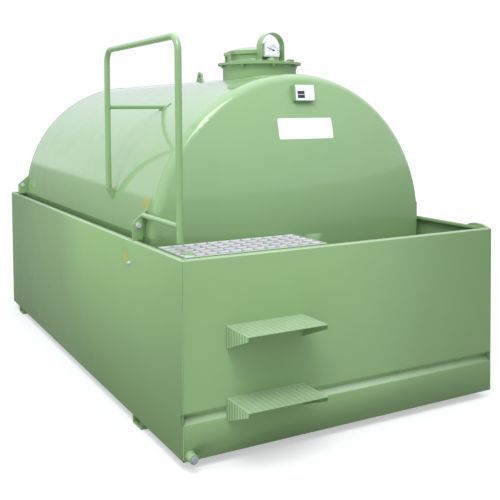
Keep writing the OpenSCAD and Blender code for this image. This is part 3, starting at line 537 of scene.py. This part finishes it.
# %% Set the four walls
wall_h = rim_z - base_z
groove_z, groove_d, rim_w, rim_lip = 0.2, 0.028, 0.03, 0.02
plain_line = [(0, 0), (0, wall_h), (rim_w, wall_h), (rim_w, wall_h - rim_lip)]
groove = [(0, 0), (0, groove_z - groove_d), (groove_d, groove_z), (0, groove_z + groove_d)]
grooved_line = groove + plain_line[1:]
length = Vector((0, back_y - front_y, 0))
width = Vector((-2 * left_x, 0, 0))
front_left, front_right = Vector((left_x, front_y, base_z)), Vector((-left_x, front_y, base_z))
back_left = Vector((left_x, back_y, base_z))
for name, outline, start, across, run, node in (
        ("front_wall_sheet", grooved_line, front_left, Vector((0, 1, 0)), width, "basin_front_wall"),
        ("back_wall_sheet", grooved_line, back_left, Vector((0, -1, 0)), width, "basin_back_wall"),
        ("left_wall_sheet", plain_line, front_left, Vector((1, 0, 0)), length, "basin_left_wall"),
        ("right_wall_sheet", plain_line, front_right, Vector((-1, 0, 0)), length, "basin_right_wall")):
    folded_sheet(name, outline, start, across, run, node)

# %% [markdown]
# ## Weld beads
# The tank is held together by welds, and each leaves a low rounded bead with ripples. A bead is a small ring
# that is extruded step by step along the joint, with every other ring a little smaller. Round joints are
# a small circle, spun about the axis.

# %% Lay a bead along a line of points
def new_verts(result):
    return [g for g in result["geom"] if isinstance(g, bmesh.types.BMVert)]

def new_edges(result):
    return [g for g in result["geom"] if isinstance(g, bmesh.types.BMEdge)]

ripple = 0.86

def bead(mesh, points, radius):
    along = (points[1] - points[0]).normalized()
    turn = along.to_track_quat("Z", "Y").to_matrix().to_4x4()
    ring = bmesh.ops.create_circle(mesh, cap_ends=True, segments=8, radius=radius,
                                   matrix=Matrix.Translation(points[0]) @ turn)["verts"]
    edges = [e for e in {e for v in ring for e in v.link_edges} if all(v in ring for v in e.verts)]
    for index in range(1, len(points)):
        step = bmesh.ops.extrude_edge_only(mesh, edges=edges)
        ring, edges = new_verts(step), new_edges(step)
        edges = [e for e in edges if all(v in ring for v in e.verts)]
        bmesh.ops.translate(mesh, verts=ring, vec=points[index] - points[index - 1])
        size = ripple if index % 2 else 1 / ripple
        bmesh.ops.scale(mesh, vec=(size, size, size), verts=ring, space=Matrix.Translation(-points[index]))
    bmesh.ops.contextual_create(mesh, geom=edges)

def line(start, end, step=0.008):
    start, end = Vector(start), Vector(end)
    count = max(2, round((end - start).length / step))
    return [start.lerp(end, i / count) for i in range(count + 1)]

def ring_bead(mesh, centre, axis, radius, bead_r, steps):
    axis = Vector(axis)
    out = axis.orthogonal().normalized()
    frame_of_ring = Matrix.Translation(Vector(centre) + out * radius) @ (
        out.cross(axis).to_track_quat("Z", "Y").to_matrix().to_4x4())
    ring = bmesh.ops.create_circle(mesh, segments=8, radius=bead_r, matrix=frame_of_ring)["verts"]
    edges = list({e for v in ring for e in v.link_edges})
    bmesh.ops.spin(mesh, geom=ring + edges, cent=centre, axis=axis, angle=2 * math.pi, steps=steps,
                   use_merge=True)

# %% Weld the tank's ends and its manway
low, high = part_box("tank_shell")
tank_r = high[0]
axis_z = (low[2] + high[2]) / 2
shell_front, shell_back = low[1], high[1]
seams = bmesh.new()
for y in (shell_front, shell_back):
    ring_bead(seams, (0, y, axis_z), (0, 1, 0), tank_r - 0.0012, 0.0035, 300)
piece("head_seams", seams, tank_green)

low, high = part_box("manway_neck")
neck_r = high[0]
manway_y = (low[1] + high[1]) / 2
neck_seam = bmesh.new()
ring_bead(neck_seam, (0, manway_y, axis_z + tank_r), (0, 0, 1), neck_r + 0.001, 0.006, 120)
for v in neck_seam.verts:
    v.co.z -= tank_r - math.sqrt(tank_r * tank_r - v.co.x * v.co.x)
piece("neck_seam", neck_seam, tank_green)

# %% Weld the basin's corners
corner_seams = bmesh.new()
corner_r, corner_inset, corner_step = 0.003, 0.0015, 0.012
foot_gap, rim_gap = 0.01, 0.006
mitre_start, mitre_end = 0.006, 0.028
for x_side in (-1, 1):
    for y, inward in ((front_y, 1), (back_y, -1)):
        corner = Vector((x_side * -left_x, y, rim_z))
        edge = Vector((-x_side * corner_inset, inward * corner_inset, 0))
        for bottom, top_z in ((foot_gap, groove_z - groove_d), (groove_z + groove_d, wall_h - rim_gap)):
            foot = Vector((corner.x, corner.y, base_z + bottom)) + edge
            head = Vector((foot.x, foot.y, base_z + top_z))
            bead(corner_seams, line(foot, head, corner_step), corner_r)
        mitre = [corner + Vector((-x_side * reach, inward * reach, 0)) for reach in (mitre_start, mitre_end)]
        bead(corner_seams, line(*mitre), corner_r)
piece("corner_seams", corner_seams, basin_green)

# %% [markdown]
# ## Welds on the manway's cover and on the steps
# The riser, the gauge's boss and its guard stand on a dished cover. A ring is laid flat and every point is
# then lifted to the cover's face, which is part of a ball.

# %% Weld what stands on the cover
low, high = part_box("manway_flange")
cover_r, cover_z = high[0], high[2]
cover_edge, cover_rise = 0.004, 0.026
cover_ball = (cover_r ** 2 + cover_rise ** 2) / (2 * cover_rise)
ball_z = cover_z + cover_edge + cover_rise - cover_ball

def cover_at(x, y):
    return ball_z + math.sqrt(cover_ball ** 2 - x ** 2 - (y - manway_y) ** 2)

def middle(name):
    low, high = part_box(name)
    return Vector([(a + b) / 2 for a, b in zip(low, high)])

cover_seams = bmesh.new()
for name, bead_r, steps in (("filler_riser", 0.005, 150), ("gauge_stem", 0.003, 48)):
    low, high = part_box(name)
    spot = middle(name)
    ring_bead(cover_seams, (spot.x, spot.y, 0), (0, 0, 1), (high[0] - low[0]) / 2 + 0.001, bead_r, steps)
low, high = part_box("gauge_guard")
guard_t = 0.005
for x in (low[0], low[0] + guard_t, high[0] - guard_t, high[0]):
    bead(cover_seams, line((x, low[1], 0), (x, high[1], 0)), 0.0025)
for v in cover_seams.verts:
    v.co.z += cover_at(v.co.x, v.co.y)
piece("cover_seams", cover_seams, tank_green)

# %% Weld the steps and the drain to the wall
step_seams = bmesh.new()
seam_y = front_y - 0.001
for name in ("upper_step", "lower_step"):
    low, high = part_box(name)
    tread = high[2] - rib_h
    bead(step_seams, line((low[0] + 0.002, seam_y, tread), (high[0] - 0.002, seam_y, tread)), 0.003)
    for x in (low[0] + 0.001, high[0] - 0.001):
        bead(step_seams, line((x, seam_y, low[2] + 0.004), (x, seam_y, tread - 0.004)), 0.0025)
low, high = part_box("drain_socket")
spot = middle("drain_socket")
ring_bead(step_seams, (spot.x, seam_y, spot.z), (0, 1, 0), (high[0] - low[0]) / 2 + 0.001, 0.003, 48)
piece("step_seams", step_seams, trim_green)

# %% Weld the lug and the rail's stays
stay_seams = bmesh.new()
low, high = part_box("lifting_lug")
for x in (low[0] - 0.001, high[0] + 0.001):
    bead(stay_seams, line((x, low[1] + 0.002, low[2]), (x, high[1] - 0.002, low[2])), 0.004)
low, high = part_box("handrail_upper_stay")
spot = middle("handrail_upper_stay")
stay_r = (high[2] - low[2]) / 2
ring_bead(stay_seams, (low[0] + 0.005, spot.y, spot.z), (1, 0, 0), stay_r + 0.0005, 0.003, 40)
low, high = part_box("handrail_side_stay")
spot = middle("handrail_side_stay")
ring_bead(stay_seams, (spot.x, low[1] + 0.005, spot.z), (0, 1, 0), stay_r + 0.0005, 0.003, 40)
piece("stay_seams", stay_seams, trim_green)

# %% [markdown]
# ## Nuts and studs
# Eight studs under the cover's edge hold it down on the flange, and an earth stud stands on the basin's left
# wall. A nut is a hexagon with its edges rounded, on a washer, with the end of the stud standing out.

# %% Make a nut on its stud
washer_t = 0.002

def nut(mesh, place, axis, flats, height, stud):
    spot = Matrix.Translation(place) @ Vector(axis).to_track_quat("Z", "Y").to_matrix().to_4x4()
    stack, base = [], 0
    for sides, radius, depth, offset in ((24, flats * 0.64, washer_t, 0.0004),
                                         (6, flats * 0.577, height, flats * 0.05),
                                         (16, flats * 0.3, stud, flats * 0.06)):
        made = bmesh.ops.create_cone(mesh, cap_ends=True, segments=sides, radius1=radius, radius2=radius,
                                     depth=depth, matrix=spot @ Matrix.Translation((0, 0, base + depth / 2)))
        stack.append((made["verts"], offset))
        base += depth
    for verts, offset in stack:
        edges = list({e for v in verts for e in v.link_edges})
        bmesh.ops.bevel(mesh, geom=edges, offset=offset, segments=2, profile=0.5, affect="EDGES", material=-1)

# %% Bolt the cover down and set the earth stud
cover_nuts = bmesh.new()
stud_circle = (neck_r + cover_r) / 2
flange_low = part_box("manway_flange")[0][2]
nut_count, first_nut = 8, 9
for index in range(nut_count):
    turn = math.radians(first_nut + 360 / nut_count * index)
    place = (-stud_circle * math.sin(turn), manway_y - stud_circle * math.cos(turn), flange_low)
    nut(cover_nuts, place, (0, 0, -1), 0.019, 0.01, 0.007)
piece("cover_nuts", cover_nuts, trim_green, smooth=False)

earth_stud = bmesh.new()
earth_y, earth_z = -1.025, 0.869
nut(earth_stud, (left_x, earth_y, earth_z), (-1, 0, 0), 0.017, 0.009, 0.008)
piece("earth_stud", earth_stud, bolt_zinc, smooth=False)

# %% [markdown]
# ## The rise on the right rim
# Next to the front corner the right rim carries a low curved strip, as if a patch had been welded over the
# corner. Its outline is drawn as one face, extruded to the width of the strip and rounded along its top.

# %% Weld the strip on
strip = bmesh.new()
strip_y, strip_l, strip_h, strip_w = front_y + 0.09, 0.16, 0.021, 0.02
strip_x, strip_z = -left_x - 0.004, rim_z - 0.002
arch_steps = 12
arch = []
for index in range(arch_steps + 1):
    turn = math.pi * index / arch_steps
    place = (strip_x, strip_y - strip_l / 2 * math.cos(turn), strip_z + strip_h * math.sin(turn))
    arch.append(strip.verts.new(place))
face = strip.faces.new(arch)
grown = bmesh.ops.extrude_face_region(strip, geom=[face])
bmesh.ops.translate(strip, verts=new_verts(grown), vec=(-strip_w, 0, 0))
shoulders = [e for e in strip.edges if abs(e.verts[0].co.x - e.verts[1].co.x) < 0.001
             and min(v.co.z for v in e.verts) > rim_z]
bmesh.ops.bevel(strip, geom=shoulders, offset=0.003, segments=2, profile=0.5, affect="EDGES", material=-1)
piece("right_rim_strip", strip, basin_green)

# %% [markdown]
# ## Labels and plates
# A label is a thin rounded rectangle. It is cut flat, divided so that it can bend, given its thickness and
# then laid on its surface by a rule that turns (across, up, out) into a place. A film of glue keeps it clear
# of the steel.

# %% Cut a label and lay it
def label(mesh, size, corner, thick, cells, lay):
    patch = bmesh.new()
    bmesh.ops.create_grid(patch, x_segments=1, y_segments=1, size=0.5)
    bmesh.ops.scale(patch, vec=(*size, 1), verts=patch.verts)
    bmesh.ops.bevel(patch, geom=list(patch.verts), offset=corner, segments=4, profile=0.5, affect="VERTICES",
                    material=-1)
    for axis in (0, 1):
        normal = Vector((axis == 0, axis == 1, 0))
        for cell in range(1, cells[axis]):
            bmesh.ops.bisect_plane(patch, geom=list(patch.verts) + list(patch.edges) + list(patch.faces),
                                   plane_co=normal * size[axis] * (cell / cells[axis] - 0.5), plane_no=normal)
    spots = patch.loops.layers.uv.new("label")
    for face in patch.faces:
        for loop in face.loops:
            loop[spots].uv = (loop.vert.co.x / size[0] + 0.5, loop.vert.co.y / size[1] + 0.5)
    raised = bmesh.ops.extrude_face_region(patch, geom=list(patch.faces))
    bmesh.ops.translate(patch, verts=new_verts(raised), vec=(0, 0, thick))
    for v in patch.verts:
        v.co = lay(*v.co)
    data = bpy.data.meshes.new("patch")
    patch.to_mesh(data)
    patch.free()
    mesh.from_mesh(data)
    bpy.data.meshes.remove(data)

# %% Lay the labels on the tank and on the basin
dish_r = 2.5656
dish_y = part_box("front_head")[0][1] + dish_r
flat_glue, curved_glue = 0.0003, 0.0004
white_x, white_z = -0.003, 1.5795
wall_label_y, wall_label_z = -0.953, 0.893
shell_label_y, shell_label_z, shell_slant = -1.024, 1.188, 0.25

def on_dish(across, up, out):
    x, z = across + white_x, up + white_z
    face_y = dish_y - math.sqrt(dish_r ** 2 - x ** 2 - (z - axis_z) ** 2)
    return Vector((x, face_y - curved_glue - out, z))

def on_wall(across, up, out):
    return Vector((left_x - flat_glue - out, wall_label_y - across, wall_label_z + up))

def on_shell(across, up, out):
    turn = math.asin((shell_label_z - axis_z) / tank_r) + (up + shell_slant * across) / tank_r
    reach = tank_r + curved_glue + out
    return Vector((-reach * math.cos(turn), shell_label_y - across, axis_z + reach * math.sin(turn)))

white_label = bmesh.new()
label(white_label, (0.36, 0.117), 0.01, 0.0003, (16, 6), on_dish)
piece("white_label", white_label, sticker_white)
wall_label = bmesh.new()
label(wall_label, (0.085, 0.1), 0.02, 0.0002, (2, 2), on_wall)
piece("wall_label", wall_label, wall_amber)
shell_label = bmesh.new()
label(shell_label, (0.14, 0.11), 0.03, 0.0002, (4, 6), on_shell)
piece("shell_label", shell_label, shell_amber)

# %% Print the name plate's empty fields
low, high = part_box("name_plate")
plate_w = high[0] - low[0]
plate_h = 0.088
tilt = math.radians(8)
plate_up = Vector((0, math.sin(tilt), math.cos(tilt)))
plate_out = Vector((0, -math.cos(tilt), math.sin(tilt)))
plate_t = 0.0015
plate_face = middle("name_plate") + plate_out * plate_t / 2
plate_film = 0.0002

def on_plate(column, row):
    centre = plate_face + Vector((column * plate_w, 0, 0)) + plate_up * row * plate_h
    return lambda across, up, out: (
        centre + Vector((across, 0, 0)) + plate_up * up + plate_out * (out + plate_film))

dark_fields = bmesh.new()
white_fields = bmesh.new()
for row in (0.0, -0.25):
    label(dark_fields, (0.37 * plate_w, 0.21 * plate_h), 0.001, 0.0003, (1, 1), on_plate(-0.22, row))
    label(white_fields, (0.44 * plate_w, 0.2 * plate_h), 0.001, 0.0003, (1, 1), on_plate(0.22, row))
piece("plate_dark_fields", dark_fields, ink, smooth=False)
piece("plate_white_fields", white_fields, sticker_white, smooth=False)

# %% Rivet the plate
rivets = bmesh.new()
for column in (-0.46, 0.46):
    for row in (-0.44, 0.44):
        lay = on_plate(column, row)
        head = bmesh.ops.create_uvsphere(rivets, u_segments=16, v_segments=8, radius=0.003)["verts"]
        bmesh.ops.scale(rivets, vec=(1, 1, 0.5), verts=head)
        for v in head:
            v.co = lay(*v.co)
piece("plate_rivets", rivets, bolt_zinc)

# %% [markdown]
# ## The level gauge's face
# The dial has two rings of short marks and a dark pointer on a hub. They are thin labels too, laid on the
# dial round the pointer's pivot, and the pointer tapers to its tip.

# %% Print the dial
dial_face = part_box("gauge_dial")[0][1]
pivot = Vector((0.007, 0, 2.047))
outer_ring, inner_ring = 0.031, 0.021
pointer_l, pointer_reach, pointer_turn = 0.06, 0.021, math.radians(-69)

def on_dial(turn, reach, taper=0.0):
    def lay(across, up, out):
        aside = across * (1 - taper * (up / pointer_l + 0.5))
        x = math.sin(turn) * (reach + up) + math.cos(turn) * aside
        z = math.cos(turn) * (reach + up) - math.sin(turn) * aside
        return Vector((pivot.x + x, dial_face - flat_glue - out, pivot.z + z))
    return lay

marks = bmesh.new()
for index in range(-5, 6):
    size = (0.003, 0.009) if index % 5 == 0 else (0.0022, 0.006)
    label(marks, size, 0.0003, 0.0002, (1, 1), on_dial(math.radians(18 * index), outer_ring))
for index in range(-4, 5):
    label(marks, (0.0045, 0.0025), 0.0003, 0.0002, (1, 1), on_dial(math.radians(14 * index), inner_ring))
piece("dial_marks", marks, pale_ink, smooth=False)

# %% Set the pointer
pointer = bmesh.new()
label(pointer, (0.006, pointer_l), 0.0008, 0.0008, (1, 6), on_dial(pointer_turn, pointer_reach, 0.7))
hub = bmesh.ops.create_uvsphere(pointer, u_segments=20, v_segments=10, radius=0.006)["verts"]
bmesh.ops.scale(pointer, vec=(1, 0.5, 1), verts=hub)
bmesh.ops.translate(pointer, vec=(pivot.x, dial_face, pivot.z), verts=hub)
piece("gauge_pointer", pointer, ink)
